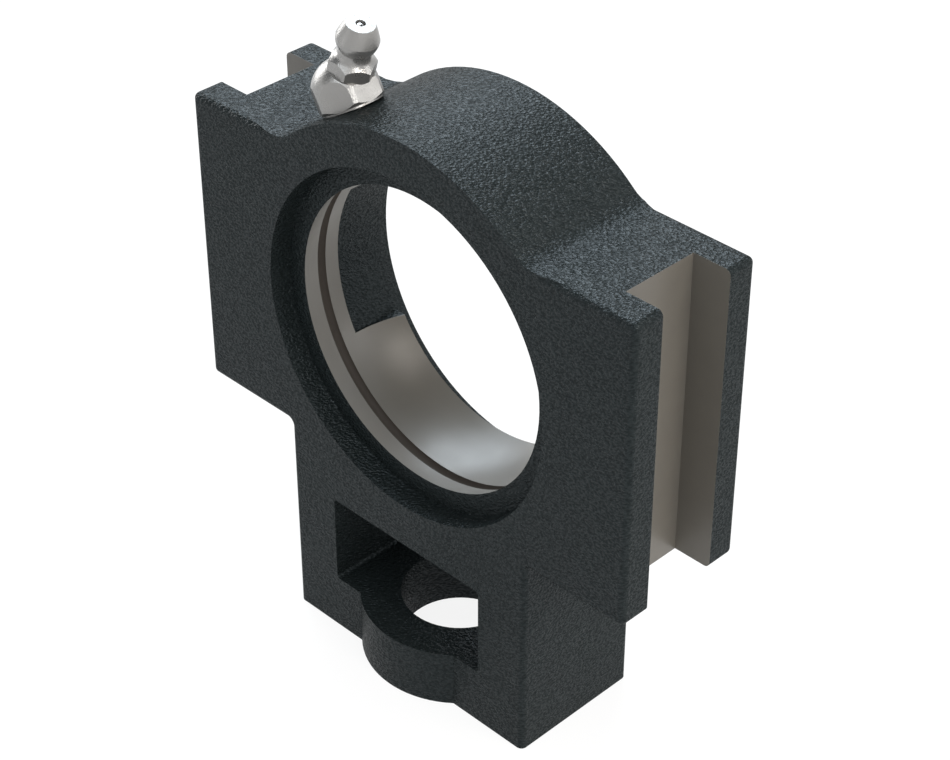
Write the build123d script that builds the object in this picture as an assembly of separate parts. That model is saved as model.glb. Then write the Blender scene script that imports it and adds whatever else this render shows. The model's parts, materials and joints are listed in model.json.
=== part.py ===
from build123d import *
import math
import os

# A cast take-up housing for a spherical insert bearing, with its grease nipple.
# The origin is the centre of the spherical seat: X across the guide flanges, Y along the bore with
# the front at negative Y, Z up, away from the take-up screw. All lengths are in millimetres.

# Plate and guide flanges
THICKNESS = 24.0
FLANGE_WIDTH = 89.0
FLANGE_HEIGHT = 51.0
GUIDE_ACROSS = 76.0       # between the floors of the two guide grooves
GUIDE_WIDTH = 13.5
EDGE_ROUND = 1.0          # cast rounding along the outer edges

# Bore
SEAT_DIAMETER = 52.0
SEAT_WIDTH = 17.0
RECESS_STEP = 2.0         # from the seat's largest radius out to the recess wall
RECESS_DRAFT = 0.45       # how much larger the recess radius is at its mouth
GROOVE_Y = -4.15          # middle of the grease groove
GROOVE_WIDTH = 1.9
GROOVE_DEPTH = 0.95
LOADING_WIDTH = 26.0      # the slots through which the insert goes in crosswise
LOADING_RELIEF = 0.3
LOADING_START = -0.5      # Y where they begin; they run out into the back recess

# Hump over the bore
HUMP_WALL = 7.0
HUMP_FILLET = 5.0
FRONT_RUNOUT_START = 1.5  # from the fillet's end outwards: the front edge is sharp up to here
FRONT_RUNOUT_END = 6.5    # and has its whole rounding again from here
BACK_RUNOUT_START = -1.2
BACK_RUNOUT_END = 2.2

# Tail with the slot for the screw's nut
SLOT_BRIDGE = 8.0         # metal between the recess and the slot
SLOT_WIDTH = 32.0
SLOT_HEIGHT = 16.0
SLOT_ROUND = 0.6
RAIL_WIDTH = 9.5          # metal on each side of the slot
TAIL_FILLET = 1.05
SCREW_HOLE_DIAMETER = 19.0
BOSS_WALL = 6.5
BOSS_HEIGHT = 10.0

# Elbow of the grease nipple, with heights measured out from the crown of the hump
NIPPLE_ANGLE = 119.4      # round the bore, from +X
HEAD_TILT = 45.0
FIT_CLEARANCE = 0.01      # radial, where a turned part is screwed or pressed home
STEM_DIAMETER = 6.0
STEM_LENGTH = 6.0
HOLE_RUNOUT = 0.5         # depth of the tapped hole past the stem
FEED_DIAMETER = 2.5       # from the tapped hole to the grease groove
PASSAGE_DIAMETER = 2.0
COLLAR_DIAMETER = 9.1
COLLAR_HEIGHT = 0.3
ELBOW_FLATS = 9.55
ELBOW_FOOT_CHAMFER = 0.5
DOME_RADIUS = 5.3         # also of the round blank under the dome
AXES_HEIGHT = 2.4         # where the axes of stem and head cross

# Head of the grease nipple, with heights measured along its axis from its seat on the elbow
HEAD_SEAT = 3.96          # from the crossing of the axes to that seat
SPIGOT_DIAMETER = 4.0
SPIGOT_LENGTH = 3.0
HEX_FLATS = 6.35
HEX_HEIGHT = 1.65         # of its corners, under the cone
HEX_CHAMFER = 0.3
NECK_DIAMETER = 4.9
NECK_FILLET = 1.5
NECK_HEIGHT = 3.83
RIDGE_DIAMETER = 6.45
RIDGE_HEIGHT = 5.9
NOSE_DIAMETER = 4.4
HEAD_HEIGHT = 8.42
FLANK_BULGE = 0.19        # how far the flank under the ridge stands out from a straight cone
NOSE_BULGE = 0.06

# Check valve in the head
BALL_DIAMETER = 2.0
VALVE_GAP = 0.02          # between the closed ball and its conical seat, and at the spring's ends
ORIFICE_DIAMETER = 1.5
ORIFICE_LAND = 0.4
CONE_HALF_ANGLE = 30.0
SPRING_BORE_DIAMETER = 2.3
LEDGE_HEIGHT = 0.9        # the ledge that carries the spring
LEDGE_BORE_DIAMETER = 1.3
SPRING_DIAMETER = 2.0
SPRING_WIRE = 0.3
SPRING_TURNS = 6

# Sizes that follow from the ones above
guide_depth = (FLANGE_WIDTH - GUIDE_ACROSS) / 2
seat_radius = SEAT_DIAMETER / 2
recess_radius = seat_radius + RECESS_STEP
hump_radius = recess_radius + HUMP_WALL
groove_ring_radius = math.sqrt(seat_radius**2 - GROOVE_Y**2)
slot_top = -(recess_radius + SLOT_BRIDGE)
slot_floor = slot_top - SLOT_HEIGHT
tail_bottom = slot_floor - BOSS_HEIGHT
tail_width = SLOT_WIDTH + 2 * RAIL_WIDTH
boss_radius = SCREW_HOLE_DIAMETER / 2 + BOSS_WALL
cone_top = HEAD_HEIGHT - ORIFICE_LAND

# Where the ball closes on the cone
cone_angle = math.radians(CONE_HALF_ANGLE)
ball_drop = BALL_DIAMETER / 2 + VALVE_GAP - ORIFICE_DIAMETER / 2 * math.cos(cone_angle)
ball_height = cone_top - ball_drop / math.sin(cone_angle)

# Places. The elbow's own axis points out from the crown, its X towards the front;
# the head's own axis tilts from it towards +X of the housing.
along_y = Rot(X=-90)
upward = (Align.CENTER, Align.CENTER, Align.MIN)
downward = (Align.CENTER, Align.CENTER, Align.MAX)
out_x = math.cos(math.radians(NIPPLE_ANGLE))
out_z = math.sin(math.radians(NIPPLE_ANGLE))
elbow_foot = (hump_radius * out_x, GROOVE_Y, hump_radius * out_z)
elbow_place = Plane(origin=elbow_foot, x_dir=(0, -1, 0), z_dir=(out_x, 0, out_z)).location
head_on_elbow = Pos(0, 0, AXES_HEIGHT) * Rot(X=-HEAD_TILT) * Pos(0, 0, HEAD_SEAT)
head_place = elbow_place * head_on_elbow


def turned(*curves):
    """A solid turned about Z from curves (radius, height) that run out from the axis and back to it."""
    edges = [edge for curve in curves for edge in curve.edges()]
    closing = Line(curves[-1] @ 1, curves[0] @ 0)
    return revolve(Plane.XZ * make_face([*edges, closing]), Axis.Z)


def plate():
    """Flange and tail in one slab. Its outer edges are rounded, those of the tail's foot are sharp."""
    flange = Rectangle(FLANGE_WIDTH, FLANGE_HEIGHT)
    tail = Pos(0, tail_bottom / 2) * Rectangle(tail_width, -tail_bottom)
    outline = flange + tail
    low = outline.vertices().filter_by_position(Axis.Y, tail_bottom / 2 - FLANGE_HEIGHT / 2, 0)
    armpits = [v for v in low if abs(v.X) < tail_width / 2 + EDGE_ROUND]
    slab = extrude(Plane.XZ * fillet(armpits, TAIL_FILLET), THICKNESS / 2, both=True)

    corners = [e for e in slab.edges().filter_by(Axis.Y) if abs(e.center().X) > FLANGE_WIDTH / 2 - EDGE_ROUND]
    sides = slab.faces().sort_by(Axis.Y)
    rims = [e for e in sides[0].edges() + sides[-1].edges() if e.center().Z > tail_bottom + EDGE_ROUND]
    return fillet(corners + rims, EDGE_ROUND)


def hump():
    """The round crown over the bore, with a fillet down to each flange and sharp front and back edges.

    Seen from above its feet narrow towards their ends, so that the flange's rounding grows from nothing.
    """
    half = FLANGE_HEIGHT / 2
    fillet_end = math.sqrt((hump_radius + HUMP_FILLET)**2 - (half + HUMP_FILLET)**2)
    foot_end = fillet_end + max(FRONT_RUNOUT_END, BACK_RUNOUT_END)
    foot = Pos(0, half / 2) * Rectangle(2 * foot_end, half)
    crown = Circle(hump_radius) & Pos(0, hump_radius / 2) * Rectangle(2 * hump_radius, hump_radius)
    outline = foot + crown
    level = outline.vertices().filter_by_position(Axis.Y, half - EDGE_ROUND, half + EDGE_ROUND)
    roots = [v for v in level if abs(v.X) < fillet_end]
    body = extrude(Plane.XZ * fillet(roots, HUMP_FILLET), THICKNESS / 2, both=True)

    face = THICKNESS / 2
    front_edge = [(fillet_end + FRONT_RUNOUT_START, -face), (fillet_end + FRONT_RUNOUT_END, EDGE_ROUND - face)]
    back_edge = [(fillet_end + BACK_RUNOUT_END, face - EDGE_ROUND), (fillet_end + BACK_RUNOUT_START, face)]
    right = front_edge + back_edge
    left = [(-x, y) for x, y in reversed(right)]
    return body & extrude(make_face(Polyline(*right, *left, close=True)), 2 * hump_radius)


def bore():
    """The space turned out along the bore: two recesses with the spherical seat and grease groove between."""
    face = THICKNESS / 2
    seat_end = math.degrees(math.asin(SEAT_WIDTH / 2 / seat_radius))
    groove_middle = math.degrees(math.asin(GROOVE_Y / seat_radius))
    groove_half = math.degrees(math.asin(GROOVE_WIDTH / SEAT_DIAMETER))
    groove_front = groove_middle - groove_half
    groove_back = groove_middle + groove_half
    groove_floor = Vector(seat_radius + GROOVE_DEPTH, 0).rotate(Axis.Z, groove_middle)
    front_seat = CenterArc((0, 0), seat_radius, -seat_end, groove_front + seat_end)
    back_seat = CenterArc((0, 0), seat_radius, groove_back, seat_end - groove_back)
    groove = ThreePointArc(front_seat @ 1, groove_floor, back_seat @ 0)
    recess = [
        (0, face),
        (recess_radius + RECESS_DRAFT, face),
        (recess_radius, SEAT_WIDTH / 2),
    ]
    front = Polyline([(radius, -y) for radius, y in recess] + [front_seat @ 0])
    back = Polyline([back_seat @ 1] + recess[::-1])
    return along_y * turned(front, front_seat, groove, back_seat, back)


def loading_slots():
    """The two slots on the back of the seat, one on each side, as one cutter right across the bore."""
    length = SEAT_WIDTH / 2 - LOADING_START
    cutter = along_y * Cylinder(seat_radius + LOADING_RELIEF, length)
    cutter &= Box(2 * recess_radius, length, LOADING_WIDTH)
    return Pos(0, LOADING_START + length / 2, 0) * cutter


def nipple_hole():
    """The tapped hole for the nipple's stem and the feed hole below it, about the elbow's axis."""
    hole = Cylinder(STEM_DIAMETER / 2 + FIT_CLEARANCE, 2 * (STEM_LENGTH + HOLE_RUNOUT))
    return elbow_place * (hole + Cylinder(FEED_DIAMETER / 2, 2 * (hump_radius - groove_ring_radius)))


def housing():
    """The casting with all that is machined into it."""
    boss_middle = Pos(0, 0, tail_bottom + BOSS_HEIGHT / 2)
    body = plate() + hump() + boss_middle * Cylinder(boss_radius, BOSS_HEIGHT)
    body = body - bore() - loading_slots()

    slot = Box(SLOT_WIDTH, THICKNESS, SLOT_HEIGHT)
    slot = fillet(slot.edges().filter_by(Axis.Y), SLOT_ROUND)
    body -= Pos(0, 0, (slot_top + slot_floor) / 2) * slot
    body -= boss_middle * Cylinder(SCREW_HOLE_DIAMETER / 2, BOSS_HEIGHT)
    guide = Box(guide_depth, GUIDE_WIDTH, FLANGE_HEIGHT)
    body -= [Pos(side * (GUIDE_ACROSS + guide_depth) / 2, 0, 0) * guide for side in (-1, 1)]
    return body - nipple_hole()


def nipple_elbow():
    """Domed hexagonal elbow on a thin collar, with its stem and the two grease passages."""
    side = Polyline(
        (0, COLLAR_HEIGHT),
        (DOME_RADIUS - ELBOW_FOOT_CHAMFER, COLLAR_HEIGHT),
        (DOME_RADIUS, COLLAR_HEIGHT + ELBOW_FOOT_CHAMFER),
        (DOME_RADIUS, AXES_HEIGHT),
    )
    dome = CenterArc((0, AXES_HEIGHT), DOME_RADIUS, 0, 90)
    hexagon = RegularPolygon(ELBOW_FLATS / 2, 6, major_radius=False)
    elbow = turned(side, dome) & extrude(hexagon, AXES_HEIGHT + DOME_RADIUS)
    elbow += Cylinder(COLLAR_DIAMETER / 2, COLLAR_HEIGHT, align=upward)
    elbow += Cylinder(STEM_DIAMETER / 2, STEM_LENGTH, align=downward)

    above_seat = Cylinder(DOME_RADIUS, DOME_RADIUS, align=upward)
    socket = Cylinder(SPIGOT_DIAMETER / 2 + FIT_CLEARANCE, SPIGOT_LENGTH, align=downward)
    head_passage = Cylinder(PASSAGE_DIAMETER / 2, HEAD_SEAT, align=downward)
    stem_passage = Cylinder(PASSAGE_DIAMETER / 2, STEM_LENGTH + AXES_HEIGHT, align=upward)
    elbow -= head_on_elbow * (above_seat + socket + head_passage)
    return elbow_place * (elbow - Pos(0, 0, -STEM_LENGTH) * stem_passage)


def valve_bore():
    """The space in the head: ledge bore, spring bore, conical ball seat and orifice."""
    ledge = LEDGE_BORE_DIAMETER / 2
    spring = SPRING_BORE_DIAMETER / 2
    orifice = ORIFICE_DIAMETER / 2
    return turned(Polyline(
        (0, -SPIGOT_LENGTH),
        (ledge, -SPIGOT_LENGTH),
        (ledge, LEDGE_HEIGHT),
        (spring, LEDGE_HEIGHT),
        (spring, cone_top - (spring - orifice) / math.tan(cone_angle)),
        (orifice, cone_top),
        (orifice, HEAD_HEIGHT),
        (0, HEAD_HEIGHT),
    ))


def nipple_head():
    """Hexagonal collar, neck and the flared nose that the grease gun grips, on a pressed-in spigot."""
    hexagon = RegularPolygon(HEX_FLATS / 2, 6, major_radius=False, rotation=30)
    corner = hexagon.vertices().sort_by(Axis.Y)[-1].Y
    neck = NECK_DIAMETER / 2
    neck_end = (neck, NECK_HEIGHT)
    cone_start = (corner, HEX_HEIGHT)
    cone_end = (neck, HEX_HEIGHT + corner - neck)
    collar = turned(
        Polyline((0, 0), (corner - HEX_CHAMFER, 0), (corner, HEX_CHAMFER), cone_start),
        FilletPolyline(cone_start, cone_end, neck_end, radius=NECK_FILLET),
        Line(neck_end, (0, NECK_HEIGHT)),
    )
    collar &= extrude(hexagon, NECK_HEIGHT)
    ridge = (RIDGE_DIAMETER / 2, RIDGE_HEIGHT)
    nose_end = (NOSE_DIAMETER / 2, HEAD_HEIGHT)
    nose = turned(
        Line((0, NECK_HEIGHT), neck_end),
        SagittaArc(neck_end, ridge, -FLANK_BULGE),
        SagittaArc(ridge, nose_end, -NOSE_BULGE),
        Line(nose_end, (0, HEAD_HEIGHT)),
    )
    spigot = Cylinder(SPIGOT_DIAMETER / 2, SPIGOT_LENGTH, align=downward)
    return head_place * (collar + nose + spigot - valve_bore())


def check_ball():
    """The ball that closes the orifice from inside."""
    return head_place * Pos(0, 0, ball_height) * Sphere(BALL_DIAMETER / 2)


def ball_spring():
    """The coil spring between the ledge and the ball."""
    wire = SPRING_WIRE / 2
    coil_radius = SPRING_DIAMETER / 2 - wire
    reach = BALL_DIAMETER / 2 + wire + VALVE_GAP
    start = LEDGE_HEIGHT + VALVE_GAP + wire
    rise = ball_height - math.sqrt(reach**2 - coil_radius**2) - start
    path = Helix(rise / SPRING_TURNS, rise, coil_radius)
    section = Plane(origin=path @ 0, z_dir=path % 0) * RegularPolygon(wire, 6)
    return head_place * Pos(0, 0, start) * sweep(section, path, is_frenet=True)


pieces = {
    "housing": housing(),
    "nipple_elbow": nipple_elbow(),
    "nipple_head": nipple_head(),
    "check_ball": check_ball(),
    "ball_spring": ball_spring(),
}
os.makedirs("parts", exist_ok=True)
for name, shape in pieces.items():
    shape.label = name
    export_step(shape, f"parts/{name}.step")
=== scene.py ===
import json
import math

import bpy
from mathutils import Matrix, Vector


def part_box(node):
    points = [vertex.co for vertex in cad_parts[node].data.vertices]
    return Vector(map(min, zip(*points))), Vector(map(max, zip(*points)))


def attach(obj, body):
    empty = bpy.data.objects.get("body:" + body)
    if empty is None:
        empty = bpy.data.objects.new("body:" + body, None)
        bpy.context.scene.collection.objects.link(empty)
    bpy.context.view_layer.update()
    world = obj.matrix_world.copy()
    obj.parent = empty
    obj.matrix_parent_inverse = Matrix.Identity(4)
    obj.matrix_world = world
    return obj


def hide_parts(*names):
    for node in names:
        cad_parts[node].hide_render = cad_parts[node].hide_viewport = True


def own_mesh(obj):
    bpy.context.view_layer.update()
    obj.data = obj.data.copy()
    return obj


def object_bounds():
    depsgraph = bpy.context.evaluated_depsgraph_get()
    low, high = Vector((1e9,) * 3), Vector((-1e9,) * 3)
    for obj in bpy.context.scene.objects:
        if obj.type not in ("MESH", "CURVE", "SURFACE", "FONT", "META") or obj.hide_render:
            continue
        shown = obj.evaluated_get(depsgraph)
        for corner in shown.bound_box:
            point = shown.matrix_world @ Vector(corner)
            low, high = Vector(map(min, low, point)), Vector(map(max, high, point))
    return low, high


bl_info = {
    "name": "Take-up Bearing Housing",
    "version": (1, 0, 0),
    "blender": (4, 5, 0),
    "location": "View3D > Sidebar > Take-up Housing",
    "description": "Finishes for a cast take-up bearing housing, its grease nipple and its check valve",
    "category": "Object",
}

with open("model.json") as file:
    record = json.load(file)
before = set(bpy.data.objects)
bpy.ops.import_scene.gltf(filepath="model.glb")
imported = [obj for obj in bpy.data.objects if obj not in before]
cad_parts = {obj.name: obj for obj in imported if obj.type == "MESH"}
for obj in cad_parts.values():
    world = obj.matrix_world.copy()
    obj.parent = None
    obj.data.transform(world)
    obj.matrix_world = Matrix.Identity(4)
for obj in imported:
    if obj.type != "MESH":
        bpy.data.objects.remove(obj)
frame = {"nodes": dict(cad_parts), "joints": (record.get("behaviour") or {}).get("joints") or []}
NODES = frame["nodes"]
CAD_BOX = [list(corner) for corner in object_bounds()]
VALVE_JOINT = frame["joints"][0]

# Places and lengths taken from the frame, in metres
NIPPLE_AXIS = -Vector(VALVE_JOINT["axis"])
BALL_CENTRE = (Vector(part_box("check_ball")[0]) + Vector(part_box("check_ball")[1])) / 2
FLOOR_HEIGHT = CAD_BOX[0][2]


class CastingFinish(bpy.types.PropertyGroup):
    """Sizes and colours of the cast skin and of the machined surfaces"""

    skin_colour: bpy.props.FloatVectorProperty(
        name="Skin Colour",
        description="Colour of the cast skin",
        default=(0.0092, 0.0120, 0.0122),
        min=0.0,
        max=1.0,
        size=3,
        subtype="COLOR",
    )
    skin_tint: bpy.props.FloatVectorProperty(
        name="Skin Tint",
        description="Tint of what the cast skin mirrors",
        default=(0.82, 0.93, 1.0),
        min=0.0,
        max=1.0,
        size=3,
        subtype="COLOR",
    )
    skin_roughness: bpy.props.FloatProperty(
        name="Skin Roughness",
        description="Roughness of the cast skin's gloss",
        default=0.26,
        min=0.0,
        max=1.0,
        subtype="FACTOR",
    )
    pebble_size: bpy.props.FloatProperty(
        name="Pebble Size",
        description="Distance from one pebble of the cast skin to the next",
        default=0.00028,
        min=0.0001,
        unit="LENGTH",
    )
    pebble_depth: bpy.props.FloatProperty(
        name="Pebble Depth",
        description="Depth of the dimples between the pebbles",
        default=0.00028,
        min=0.0,
        unit="LENGTH",
    )
    machined_colour: bpy.props.FloatVectorProperty(
        name="Machined Colour",
        description="Colour of the bare iron in the seat and the guide grooves",
        default=(0.100, 0.0915, 0.078),
        min=0.0,
        max=1.0,
        size=3,
        subtype="COLOR",
    )
    machined_roughness: bpy.props.FloatProperty(
        name="Machined Roughness",
        description="Roughness of the machined surfaces",
        default=0.36,
        min=0.0,
        max=1.0,
        subtype="FACTOR",
    )
    # Dark colour of the grease groove, painted shade in the groove
    groove_shade_colour: bpy.props.FloatVectorProperty(
        name="Grease Groove Colour",
        description="Colour of the grease groove in the seat",
        default=(0.06, 0.05, 0.042),
        min=0.0,
        max=1.0,
        size=3,
        subtype="COLOR",
    )
    seat_radius: bpy.props.FloatProperty(
        name="Seat Radius",
        description="Radius of the spherical seat",
        default=0.026,
        min=0.001,
        unit="LENGTH",
    )
    seat_half_width: bpy.props.FloatProperty(
        name="Seat Half Width",
        description="Half the width of the spherical seat along the bore",
        default=0.0085,
        min=0.001,
        unit="LENGTH",
    )
    groove_place: bpy.props.FloatProperty(
        name="Grease Groove Place",
        description="Place of the grease groove's middle along the bore",
        default=-0.00415,
        unit="LENGTH",
    )
    groove_half_width: bpy.props.FloatProperty(
        name="Grease Groove Half Width",
        description="Half the width of the grease groove",
        default=0.00096,
        min=0.0001,
        unit="LENGTH",
    )
    guide_floor: bpy.props.FloatProperty(
        name="Guide Floor",
        description="Distance of the guide grooves' floors from the middle",
        default=0.038,
        min=0.001,
        unit="LENGTH",
    )
    guide_half_width: bpy.props.FloatProperty(
        name="Guide Half Width",
        description="Half the width of the guide grooves",
        default=0.00675,
        min=0.001,
        unit="LENGTH",
    )


class NippleFinish(bpy.types.PropertyGroup):
    """Colour and roughness of the grease nipple's plating"""

    plating_colour: bpy.props.FloatVectorProperty(
        name="Plating Colour",
        description="Colour of the bright plating",
        default=(0.27, 0.266, 0.259),
        min=0.0,
        max=1.0,
        size=3,
        subtype="COLOR",
    )
    plating_roughness: bpy.props.FloatProperty(
        name="Plating Roughness",
        description="Roughness of the bright plating",
        default=0.30,
        min=0.0,
        max=1.0,
        subtype="FACTOR",
    )


class ValveSizes(bpy.types.PropertyGroup):
    """Sizes of the check valve's spring, and colours of the spring and the ball"""

    coil_diameter: bpy.props.FloatProperty(
        name="Coil Diameter",
        description="Outside diameter of the spring",
        default=0.0020,
        min=0.0005,
        unit="LENGTH",
    )
    wire_diameter: bpy.props.FloatProperty(
        name="Wire Diameter",
        description="Diameter of the spring's wire",
        default=0.0003,
        min=0.00005,
        unit="LENGTH",
    )
    turns: bpy.props.IntProperty(
        name="Turns",
        description="Turns of the spring between its ends",
        default=6,
        min=2,
    )
    steel_colour: bpy.props.FloatVectorProperty(
        name="Steel Colour",
        description="Colour of the polished ball",
        default=(0.62, 0.63, 0.65),
        min=0.0,
        max=1.0,
        size=3,
        subtype="COLOR",
    )
    wire_colour: bpy.props.FloatVectorProperty(
        name="Wire Colour",
        description="Colour of the spring's drawn wire",
        default=(0.40, 0.40, 0.42),
        min=0.0,
        max=1.0,
        size=3,
        subtype="COLOR",
    )


class StudioSettings(bpy.types.PropertyGroup):
    """Floor, lamps and camera"""

    floor_size: bpy.props.FloatProperty(
        name="Floor Size",
        description="Width of the floor",
        default=6.0,
        min=0.1,
        unit="LENGTH",
    )
    aim: bpy.props.FloatVectorProperty(
        name="Aim",
        description="Point that the camera looks at",
        default=(0.005352, -0.001974, -0.007333),
        size=3,
        subtype="TRANSLATION",
        unit="LENGTH",
    )
    azimuth: bpy.props.FloatProperty(
        name="Azimuth",
        description="Camera's turn about the vertical, from the front towards the right",
        default=math.radians(45.017),
        subtype="ANGLE",
        unit="ROTATION",
    )
    elevation: bpy.props.FloatProperty(
        name="Elevation",
        description="Camera's height above the horizon",
        default=math.radians(35.242),
        subtype="ANGLE",
        unit="ROTATION",
    )
    distance: bpy.props.FloatProperty(
        name="Distance",
        description="Camera's distance from the point that it looks at",
        default=0.3467,
        min=0.05,
        unit="LENGTH",
    )
    lens: bpy.props.FloatProperty(
        name="Lens",
        description="Focal length of the camera",
        default=88.948,
        min=10.0,
        subtype="DISTANCE_CAMERA",
    )
    room_light: bpy.props.FloatProperty(
        name="Room Light",
        description="Strength of the even light from all round",
        default=0.55,
        min=0.0,
    )


# Most values of a noise texture lie between these two
NOISE_LOW = 0.3
NOISE_HIGH = 0.7

# Bands round the true sizes that tell the machined surfaces apart, in metres
SEAT_INSET = 0.00002
SEAT_REACH = 0.00006
GROOVE_OFFSET = 0.0005
GROOVE_REACH = 0.00048
GUIDE_MARGIN = 0.00001

# Turn of the cast skin's layers, and how far the pebbles are drawn out along them
LAYER_TURN = (0.0, math.radians(35.3), math.radians(135.0))
LAYER_STRETCH = (1.9, 1.9, 1.0)

# Share of the unreflecting shader in the dimples and on the pebbles, painted shade that darkens the dimples more
# than the pebbles
SHADE_SHARE_IN_DIMPLES = 0.78
SHADE_SHARE_ON_PEBBLES = 0.60

# Share of glow in what the camera and mirroring surfaces see of the floor
FLOOR_GLOW = 0.88

WHITE = (1.0, 1.0, 1.0)


def solid(colour, share=1.0):
    """Colour with full opacity, made darker or lighter by share"""
    return (*(part * share for part in colour), 1.0)


class NodeBench:
    """Node tree of a material or world, with short ways to add its nodes and join them"""

    def __init__(self, owner, output="ShaderNodeOutputMaterial"):
        self.owner = owner
        self.owner.use_nodes = True
        self.tree = self.owner.node_tree
        self.tree.nodes.clear()
        self.output = self.add(output)

    def add(self, kind, inputs=None, **settings):
        """Adds a node, sets its settings, and sets or joins its inputs"""
        made = self.tree.nodes.new(kind)
        for setting, value in settings.items():
            setattr(made, setting, value)
        for place, value in (inputs or {}).items():
            if isinstance(value, bpy.types.NodeSocket):
                self.tree.links.new(value, made.inputs[place])
            else:
                made.inputs[place].default_value = value
        return made

    def place(self):
        """Place on the object, in its own frame"""
        return self.add("ShaderNodeTexCoord").outputs["Object"]

    def math(self, operation, *values):
        """Works out a number from numbers or sockets"""
        inputs = dict(enumerate(values))
        return self.add("ShaderNodeMath", inputs, operation=operation).outputs[0]

    def near(self, value, middle, reach):
        """1 where value is within reach of middle, and 0 elsewhere"""
        return self.math("COMPARE", value, middle, reach)

    def seen(self):
        """1 for rays from the camera and from mirroring or clear surfaces, and 0 for the others"""
        rays = self.add("ShaderNodeLightPath").outputs
        mirrored = self.math("MAXIMUM", rays["Is Glossy Ray"], rays["Is Transmission Ray"])
        return self.math("MAXIMUM", rays["Is Camera Ray"], mirrored)

    def noise(self, place, size, **inputs):
        """Noise whose features are about size metres across"""
        wanted = {"Vector": place, "Scale": 1.0 / size}
        wanted.update({name.title(): value for name, value in inputs.items()})
        return self.add("ShaderNodeTexNoise", wanted).outputs["Fac"]

    def spread(self, value, low=NOISE_LOW, high=NOISE_HIGH, new_low=0.0, new_high=1.0):
        """Value from low to high spread over new_low to new_high"""
        inputs = {"Value": value, "From Min": low, "From Max": high, "To Min": new_low, "To Max": new_high}
        return self.add("ShaderNodeMapRange", inputs).outputs["Result"]

    def uneven(self, noise, middle, less, more):
        """Value that the noise takes from less below the middle to more above it"""
        return self.spread(noise, new_low=middle - less, new_high=middle + more)

    def mix_colour(self, factor, first, second):
        """First colour where factor is 0, second where it is 1"""
        inputs = {0: factor, 6: first, 7: second}
        return self.add("ShaderNodeMix", inputs, data_type="RGBA").outputs[2]

    def bump(self, height, depth):
        """Normal of a relief whose height of 1 is depth metres"""
        inputs = {"Height": height, "Strength": 1.0, "Distance": depth}
        return self.add("ShaderNodeBump", inputs).outputs["Normal"]

    def shader(self, kind, inputs):
        """Shader of that kind with these inputs"""
        return self.add(kind, inputs).outputs[0]

    def mix_shaders(self, factor, first, second):
        """First shader where factor is 0, second where it is 1"""
        return self.shader("ShaderNodeMixShader", {0: factor, 1: first, 2: second})

    def finish(self, shader):
        """Joins the shader to the output and gives the material or world"""
        self.tree.links.new(shader, self.output.inputs["Surface"])
        return self.owner


def machined_places(bench, place, finish):
    """Two masks, of the machined seat with the guide grooves and of the grease groove, told apart by place"""
    parts = bench.add("ShaderNodeSeparateXYZ", {0: place}).outputs
    x_apart = bench.math("ABSOLUTE", parts["X"])
    y_apart = bench.math("ABSOLUTE", parts["Y"])
    from_middle = bench.add("ShaderNodeVectorMath", {0: place}, operation="LENGTH").outputs["Value"]

    on_sphere = bench.near(from_middle, finish.seat_radius - SEAT_INSET, SEAT_REACH)
    between_rims = bench.math("LESS_THAN", y_apart, finish.seat_half_width)
    in_seat = bench.math("MULTIPLY", on_sphere, between_rims)

    beyond_floor = bench.math("GREATER_THAN", x_apart, finish.guide_floor - GUIDE_MARGIN)
    between_walls = bench.math("LESS_THAN", y_apart, finish.guide_half_width + GUIDE_MARGIN)
    in_guide = bench.math("MULTIPLY", beyond_floor, between_walls)

    in_band = bench.near(parts["Y"], finish.groove_place, finish.groove_half_width)
    behind_seat = bench.near(from_middle, finish.seat_radius + GROOVE_OFFSET, GROOVE_REACH)
    in_groove = bench.math("MULTIPLY", in_band, behind_seat)
    return bench.math("MAXIMUM", in_seat, in_guide), in_groove


def skin_shader(bench, place, finish):
    """Cast skin: fine glossy pebbles in slanting layers, with painted shade in the dimples between them, as darker
    colour and an unreflecting shader
    """
    layers = bench.add(
        "ShaderNodeMapping",
        {"Vector": place, "Rotation": LAYER_TURN, "Scale": LAYER_STRETCH},
        vector_type="TEXTURE",
    ).outputs["Vector"]
    pebbles = bench.noise(layers, finish.pebble_size, detail=1.0, roughness=0.5)
    patches = bench.noise(place, size=0.009, detail=2.0, roughness=0.5)
    raised = bench.spread(pebbles, low=0.32, high=0.52)
    pale = bench.mix_colour(patches, solid(finish.skin_colour, 0.92), solid(finish.skin_colour, 1.10))
    # Painted shade: the dimples between the pebbles take a darker colour than the pebbles
    colour = bench.mix_colour(raised, solid(finish.skin_colour, 0.75), pale)
    normal = bench.bump(pebbles, finish.pebble_depth)
    glossy = bench.shader(
        "ShaderNodeBsdfPrincipled",
        {
            "Base Color": colour,
            "Roughness": bench.uneven(patches, finish.skin_roughness, less=0.03, more=0.04),
            "Specular IOR Level": 0.5,
            "Specular Tint": solid(finish.skin_tint),
            "Normal": normal,
        },
    )
    # Rough shader without reflection, mixed in as painted shade, more in the dimples than on the pebbles
    dull = bench.shader(
        "ShaderNodeBsdfPrincipled",
        {"Base Color": colour, "Roughness": 0.7, "Specular IOR Level": 0.0, "Normal": normal},
    )
    dimple_shade_share = bench.spread(pebbles, 0.40, 0.60, SHADE_SHARE_IN_DIMPLES, SHADE_SHARE_ON_PEBBLES)
    return bench.mix_shaders(dimple_shade_share, glossy, dull)


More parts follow.
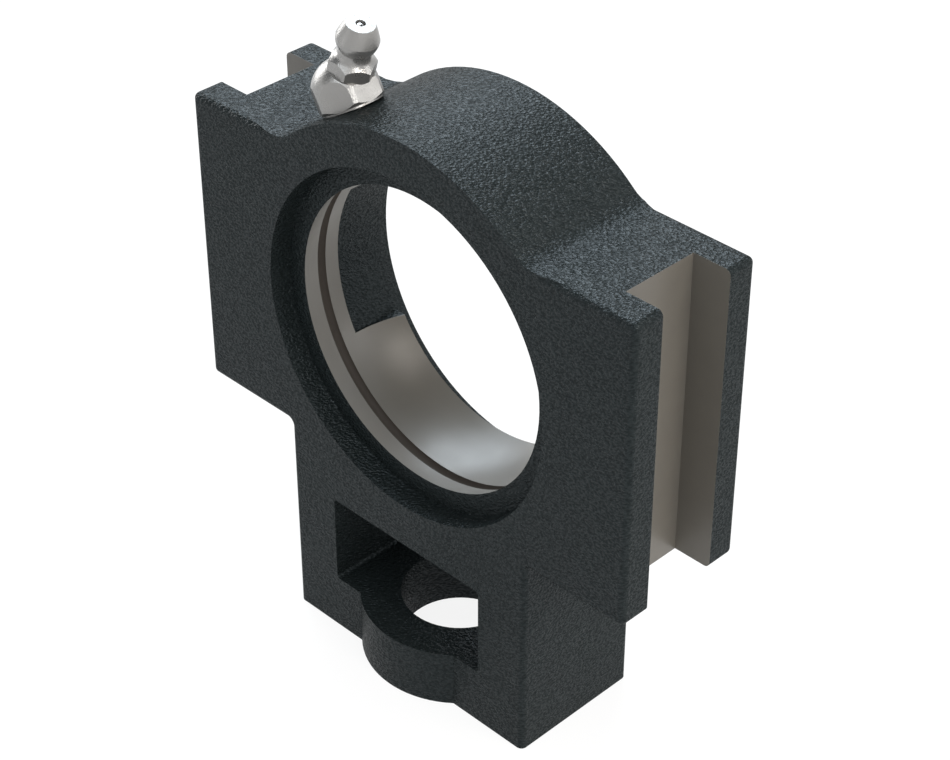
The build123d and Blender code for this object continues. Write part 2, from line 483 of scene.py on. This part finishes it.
def iron_shader(bench, place, stain, finish):
    """Machined iron: bare and satin, with faint tool marks that run round the bore"""
    marks = bench.add(
        "ShaderNodeTexWave",
        {"Vector": place, "Scale": 1400.0, "Distortion": 1.5, "Detail": 2.0, "Detail Scale": 3.0},
        wave_type="BANDS",
        bands_direction="Y",
    ).outputs["Fac"]
    stained = bench.spread(stain, low=0.35)
    return bench.shader(
        "ShaderNodeBsdfPrincipled",
        {
            "Base Color": bench.mix_colour(
                stained, solid(finish.machined_colour), solid(finish.machined_colour, 0.93)
            ),
            "Roughness": bench.uneven(stain, finish.machined_roughness, less=0.03, more=0.03),
            "Specular IOR Level": 0.5,
            "Normal": bench.bump(marks, depth=0.0000012),
        },
    )


def groove_shade_shader(bench, stain, finish):
    """Painted shade in the grease groove of the seat: a dark, rough colour that varies a little at random"""
    return bench.shader(
        "ShaderNodeBsdfPrincipled",
        {
            "Base Color": bench.mix_colour(stain, solid(finish.groove_shade_colour), solid(finish.groove_shade_colour, 0.8)),
            "Roughness": 0.6,
            "Specular IOR Level": 0.15,
        },
    )


def casting_material(finish):
    """Cast skin with a machined seat, a grease groove and machined guide grooves"""
    bench = NodeBench(bpy.data.materials.new("cast_and_machined_iron"))
    place = bench.place()
    machined, in_groove = machined_places(bench, place, finish)
    stain = bench.noise(place, size=0.006, detail=3.0, roughness=0.6)
    outside_groove = bench.mix_shaders(machined, skin_shader(bench, place, finish), iron_shader(bench, place, stain, finish))
    # The grease groove takes the dark shader, whose colour is painted shade
    return bench.finish(bench.mix_shaders(in_groove, outside_groove, groove_shade_shader(bench, stain, finish)))


def plating_material(finish):
    """Bright plating with a faint ripple"""
    bench = NodeBench(bpy.data.materials.new("bright_plating"))
    place = bench.place()
    ripple = bench.noise(place, size=0.00024, detail=1.0, roughness=0.5)
    haze = bench.noise(place, size=0.004, detail=2.0, roughness=0.6)
    hazy = bench.spread(haze)
    plating = bench.shader(
        "ShaderNodeBsdfPrincipled",
        {
            "Base Color": bench.mix_colour(hazy, solid(finish.plating_colour), solid(finish.plating_colour, 0.94)),
            "Metallic": 0.75,
            "Roughness": bench.uneven(haze, finish.plating_roughness, less=0.04, more=0.05),
            "Normal": bench.bump(ripple, depth=0.00003),
        },
    )
    return bench.finish(plating)


def steel_material(name, colour, roughness, mark_size):
    """Bare steel with fine marks"""
    bench = NodeBench(bpy.data.materials.new(name))
    marks = bench.noise(bench.place(), mark_size, detail=2.0, roughness=0.5)
    steel = bench.shader(
        "ShaderNodeBsdfPrincipled",
        {
            "Base Color": bench.mix_colour(marks, solid(colour), solid(colour, 0.85)),
            "Metallic": 1.0,
            "Roughness": bench.uneven(marks, roughness, less=0.03, more=0.05),
            "Normal": bench.bump(marks, depth=0.000002),
        },
    )
    return bench.finish(steel)


def cloth_shader(bench, first, second):
    """Matt shader whose colour varies a little between two"""
    grain = bench.noise(bench.place(), size=0.05, detail=2.0)
    return bench.shader("ShaderNodeBsdfDiffuse", {"Color": bench.mix_colour(grain, solid(first), solid(second))})


def floor_material():
    """White floor that keeps the object's soft shadow"""
    bench = NodeBench(bpy.data.materials.new("studio_floor"))
    paper = cloth_shader(bench, (0.90, 0.90, 0.90), (0.92, 0.92, 0.92))
    glow = bench.shader("ShaderNodeEmission", {"Color": solid(WHITE), "Strength": 1.0})
    share = bench.math("MULTIPLY", bench.seen(), FLOOR_GLOW)
    return bench.finish(bench.mix_shaders(share, paper, glow))


def card_material():
    """Nearly black cloth of the dark cards"""
    bench = NodeBench(bpy.data.materials.new("dark_card"))
    return bench.finish(cloth_shader(bench, (0.02, 0.022, 0.024), (0.03, 0.032, 0.034)))


def finish_node(name, material):
    """Gives a CAD node one material on all its faces"""
    mesh = NODES[name].data
    mesh.materials.clear()
    mesh.materials.append(material)


def settings(context, name):
    """This add-on's settings of one kind"""
    return getattr(context.scene, "take_up_" + name)


class OBJECT_OT_take_up_casting(bpy.types.Operator):
    """Finish the casting: cast skin outside, bare iron in the seat and the guide grooves"""

    bl_idname = "object.take_up_casting"
    bl_label = "Finish Casting"

    def execute(self, context):
        finish_node("housing", casting_material(settings(context, "casting")))
        return {"FINISHED"}


class OBJECT_OT_take_up_nipple(bpy.types.Operator):
    """Finish the grease nipple's elbow and head with bright plating"""

    bl_idname = "object.take_up_nipple"
    bl_label = "Finish Grease Nipple"

    def execute(self, context):
        material = plating_material(settings(context, "nipple"))
        for name in ("nipple_elbow", "nipple_head"):
            finish_node(name, material)
        return {"FINISHED"}


class OBJECT_OT_take_up_valve(bpy.types.Operator):
    """Finish the check ball and wind its spring"""

    bl_idname = "object.take_up_valve"
    bl_label = "Make Check Valve"

    def execute(self, context):
        sizes = settings(context, "valve")
        polished = steel_material("polished_ball", sizes.steel_colour, roughness=0.12, mark_size=0.0004)
        drawn = steel_material("drawn_wire", sizes.wire_colour, roughness=0.3, mark_size=0.0002)
        finish_node("check_ball", polished)
        spring = wind_spring(sizes, drawn)
        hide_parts("ball_spring")
        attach(spring, "housing_unit")
        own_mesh(spring)
        return {"FINISHED"}


def spring_ends():
    """Lowest and highest reach of the spring along the nipple's axis, from the ball's centre"""
    corners = [vertex.co for vertex in NODES["ball_spring"].data.vertices]
    heights = [(corner - BALL_CENTRE).dot(NIPPLE_AXIS) for corner in corners]
    return min(heights), max(heights)


def wind_spring(sizes, material):
    """Round wire wound between the ledge and the ball, with capped ends"""
    low, high = spring_ends()
    wire_radius = sizes.wire_diameter / 2
    coil_radius = sizes.coil_diameter / 2 - wire_radius
    steps_per_turn = 20
    steps = sizes.turns * steps_per_turn
    side = NIPPLE_AXIS.orthogonal().normalized()
    across = NIPPLE_AXIS.cross(side)
    curve = bpy.data.curves.new("valve_spring_wire", "CURVE")
    curve.dimensions = "3D"
    curve.bevel_depth = wire_radius
    curve.bevel_resolution = 2
    curve.use_fill_caps = True
    spline = curve.splines.new("POLY")
    spline.points.add(steps)
    for number, point in enumerate(spline.points):
        height = low + wire_radius + (high - low - 2 * wire_radius) * number / steps
        angle = 2 * math.pi * (number / steps_per_turn)
        outward = side * math.cos(angle) + across * math.sin(angle)
        place = BALL_CENTRE + NIPPLE_AXIS * height + outward * coil_radius
        point.co = (*place, 1.0)
    wound = bpy.data.objects.new("valve_spring_wire", curve)
    mesh = bpy.data.meshes.new_from_object(wound)
    bpy.data.objects.remove(wound)
    mesh.materials.clear()
    mesh.materials.append(material)
    for face in mesh.polygons:
        face.use_smooth = True
    spring = bpy.data.objects.new("valve_spring", mesh)
    bpy.context.scene.collection.objects.link(spring)
    return spring


def direction(azimuth, elevation):
    """Unit vector from the object towards that azimuth and elevation"""
    level = math.cos(elevation)
    return Vector((math.sin(azimuth) * level, -math.cos(azimuth) * level, math.sin(elevation)))


def looking_at(place, aim):
    """Matrix of a lamp or camera at place that looks at aim"""
    turn = (aim - place).to_track_quat("-Z", "Y").to_matrix().to_4x4()
    return Matrix.Translation(place) @ turn


def on_stand(azimuth, elevation, distance):
    """Matrix of a lamp or card at that azimuth and elevation in degrees, turned to the object's middle"""
    place = direction(math.radians(azimuth), math.radians(elevation)) * distance
    return looking_at(place, Vector((0.0, 0.0, 0.0)))


def flat_sheet(name, width, height, material):
    """Flat rectangle in its own XY plane, round its own origin"""
    corners = [(x * width / 2, y * height / 2, 0.0) for x, y in ((-1, -1), (1, -1), (1, 1), (-1, 1))]
    mesh = bpy.data.meshes.new(name)
    mesh.from_pydata(corners, [], [(0, 1, 2, 3)])
    mesh.materials.append(material)
    return bpy.data.objects.new(name, mesh)


# Each dark card's azimuth and elevation in degrees, and its distance, width and height in metres
DARK_CARDS = {
    "front_card": (-64.0, 43.0, 1.0, 0.9, 0.7),
    "back_card": (146.0, 58.0, 1.0, 0.7, 0.6),
}

# Each lamp's azimuth and elevation in degrees, distance and width in metres, power in watts, and colour
LAMPS = {
    "overhead_softbox": (6.0, 66.0, 0.9, 0.66, 3.0, (0.88, 0.95, 1.0)),
    "rear_softbox": (232.0, 42.0, 0.9, 0.58, 8.6, (0.83, 0.925, 1.0)),
    "back_softbox": (160.0, 24.0, 1.0, 0.5, 0.3, (0.75, 0.90, 1.0)),
    "key_softbox": (72.0, 30.0, 1.0, 0.34, 2.7, (1.0, 0.99, 0.97)),
    "warm_softbox": (97.0, 44.0, 1.0, 0.4, 6.6, (1.0, 0.93, 0.85)),
    "right_softbox": (128.0, 17.0, 1.0, 0.34, 1.3, (1.0, 0.99, 0.97)),
    "left_softbox": (-92.0, 14.0, 1.0, 0.56, 5.1, (1.0, 0.99, 0.98)),
    "front_softbox": (-28.0, 8.0, 1.0, 0.45, 0.3, (1.0, 1.0, 1.0)),
}


class SCENE_OT_take_up_studio(bpy.types.Operator):
    """Set the floor, the lamps, the room light and the camera"""

    bl_idname = "scene.take_up_studio"
    bl_label = "Set Up Studio"

    def execute(self, context):
        studio = settings(context, "studio")
        self.lay_floor(context, studio)
        self.hang_lamps(context)
        self.hang_cards(context)
        self.light_room(context, studio)
        self.place_camera(context, studio)
        context.scene.view_settings.view_transform = "Standard"
        return {"FINISHED"}

    def lay_floor(self, context, studio):
        """Flat square under the object's lowest point"""
        floor = flat_sheet("studio_floor", studio.floor_size, studio.floor_size, floor_material())
        floor.location = (0.0, 0.0, FLOOR_HEIGHT)
        context.scene.collection.objects.link(floor)

    def hang_lamps(self, context):
        """Soft lamps round the object"""
        for name, (azimuth, elevation, distance, width, power, colour) in LAMPS.items():
            light = bpy.data.lights.new(name, "AREA")
            light.shape = "SQUARE"
            light.size = width
            light.energy = power
            light.color = colour
            lamp = bpy.data.objects.new(name, light)
            lamp.matrix_world = on_stand(azimuth, elevation, distance)
            context.scene.collection.objects.link(lamp)

    def hang_cards(self, context):
        """Cards, hidden from the camera, that darken what the edges and the hump's slope mirror"""
        material = card_material()
        for name, (azimuth, elevation, distance, width, height) in DARK_CARDS.items():
            card = flat_sheet(name, width, height, material)
            card.matrix_world = on_stand(azimuth, elevation, distance)
            card.visible_camera = False
            context.scene.collection.objects.link(card)

    def light_room(self, context, studio):
        """White surroundings for what is seen and mirrored, and softer light on the object"""
        bench = NodeBench(bpy.data.worlds.new("studio_room"), "ShaderNodeOutputWorld")
        soft = bench.shader(
            "ShaderNodeBackground", {"Color": solid((0.97, 0.985, 1.0)), "Strength": studio.room_light}
        )
        backdrop = bench.shader("ShaderNodeBackground", {"Color": solid(WHITE), "Strength": 1.0})
        context.scene.world = bench.finish(bench.mix_shaders(bench.seen(), soft, backdrop))

    def place_camera(self, context, studio):
        """Camera at the set angle and distance"""
        data = bpy.data.cameras.new("studio_camera")
        data.sensor_width = 36.0
        data.lens = studio.lens
        data.clip_start = 0.01
        data.clip_end = 20.0
        camera = bpy.data.objects.new("studio_camera", data)
        aim = Vector(studio.aim)
        camera.matrix_world = looking_at(aim + direction(studio.azimuth, studio.elevation) * studio.distance, aim)
        context.scene.collection.objects.link(camera)
        context.scene.camera = camera


class VIEW3D_PT_take_up_housing(bpy.types.Panel):
    """Steps and settings of the take-up housing"""

    bl_idname = "VIEW3D_PT_take_up_housing"
    bl_label = "Take-up Housing"
    bl_space_type = "VIEW_3D"
    bl_region_type = "UI"
    bl_category = "Take-up Housing"

    def draw(self, context):
        for step, kind in STEPS:
            box = self.layout.box()
            box.operator(step.bl_idname)
            group = settings(context, kind)
            for name in group.bl_rna.properties.keys():
                if name not in ("rna_type", "name"):
                    box.prop(group, name)


STEPS = (
    (OBJECT_OT_take_up_casting, "casting"),
    (OBJECT_OT_take_up_nipple, "nipple"),
    (OBJECT_OT_take_up_valve, "valve"),
    (SCENE_OT_take_up_studio, "studio"),
)
GROUPS = {
    "casting": CastingFinish,
    "nipple": NippleFinish,
    "valve": ValveSizes,
    "studio": StudioSettings,
}
CLASSES = (*GROUPS.values(), *(step for step, kind in STEPS), VIEW3D_PT_take_up_housing)


def register():
    """Registers the classes and gives each scene its settings"""
    for kind in CLASSES:
        bpy.utils.register_class(kind)
    for name, group in GROUPS.items():
        setattr(bpy.types.Scene, "take_up_" + name, bpy.props.PointerProperty(type=group))


def unregister():
    """Takes the settings and the classes away again"""
    for name in GROUPS:
        delattr(bpy.types.Scene, "take_up_" + name)
    for kind in reversed(CLASSES):
        bpy.utils.unregister_class(kind)


def main():
    """Registers the add-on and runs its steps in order"""
    register()
    bpy.ops.object.take_up_casting()
    bpy.ops.object.take_up_nipple()
    bpy.ops.object.take_up_valve()
    bpy.ops.scene.take_up_studio()


if __name__ == "__main__":
    main()
